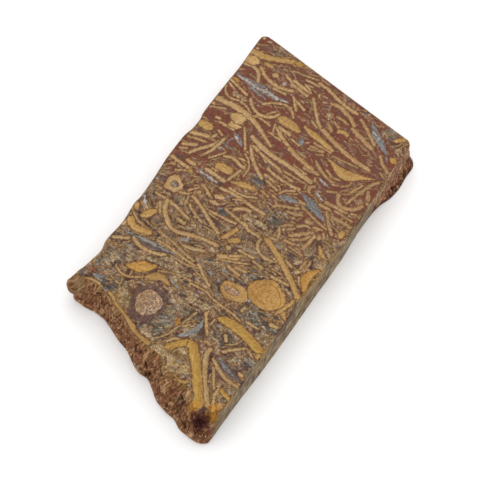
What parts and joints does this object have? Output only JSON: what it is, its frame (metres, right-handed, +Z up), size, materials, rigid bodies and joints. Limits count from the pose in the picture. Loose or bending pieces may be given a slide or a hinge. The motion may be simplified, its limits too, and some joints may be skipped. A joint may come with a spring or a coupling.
{
  "type": "mariam jasper slab",
  "caption": "Sawn slab of brown jasper packed with fossil plant strips, flat on both broad faces, with a rough natural end; lies on its lower face.",
  "frame": {"origin": "middle of the slab's box, on the lower sawn face that it rests on", "axes": "+X along the long front wall towards the straight sawn end, +Y towards the back edge, +Z up out of the upper sawn face"},
  "size_m": [0.1204, 0.0632, 0.01],
  "materials": {
    "jasper": "satin saw cut with a rough natural rind"
  },
  "bodies": {
    "root": {"mariam_jasper_slab": "jasper"}
  },
  "joints": []
}
